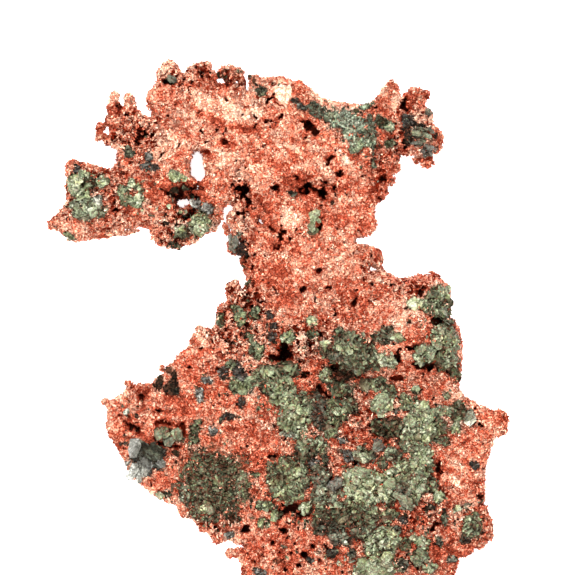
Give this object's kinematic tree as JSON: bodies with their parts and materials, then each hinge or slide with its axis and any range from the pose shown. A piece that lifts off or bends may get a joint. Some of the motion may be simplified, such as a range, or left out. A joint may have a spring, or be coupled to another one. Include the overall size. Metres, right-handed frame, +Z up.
{
  "type": "native copper nugget",
  "caption": "Ragged hackly sheet of native copper with a head, two arms, a narrow neck and a broad body, studded with green crystal lumps.",
  "frame": {"origin": "under the middle of the outline, on the plane that the nugget rests on", "axes": "+Z up out of the face that shows most of the minerals, +Y from the foot towards the crown"},
  "size_m": [0.186, 0.225, 0.0311],
  "materials": {
    "copper": "hackly bare metal",
    "green_crust": "matt",
    "pale_green_crystal": "waxy",
    "green_crystal": "waxy",
    "dark_green_crystal": "waxy",
    "dark_rock": "matt",
    "grey_quartz": "glassy",
    "white_quartz": "glassy"
  },
  "bodies": {
    "root": {"copper": "copper", "head_green_crust": "green_crust", "arm_pale_green_upper": "pale_green_crystal", "arm_pale_green_lower": "pale_green_crystal", "arm_nodule_cluster": "pale_green_crystal", "knob_pale_nodule": "pale_green_crystal", "knob_dark_nodule": "green_crystal", "throat_green_crystal": "green_crystal", "right_arm_rock": "dark_rock", "neck_brown_rock": "dark_rock", "shoulder_green_upper": "green_crystal", "shoulder_green_lower": "green_crystal", "ledge_green_lump": "green_crystal", "hollow_green_lump": "green_crystal", "belly_green_left": "green_crystal", "belly_green_right": "green_crystal", "round_dark_patch": "dark_green_crystal", "lower_green_mass": "green_crystal", "foot_green_mass": "green_crystal", "corner_green_nodule": "green_crystal", "hip_green_nodule": "dark_green_crystal", "hip_grey_quartz": "grey_quartz", "hip_white_quartz": "white_quartz", "edge_black_knob": "dark_rock"}
  },
  "joints": []
}
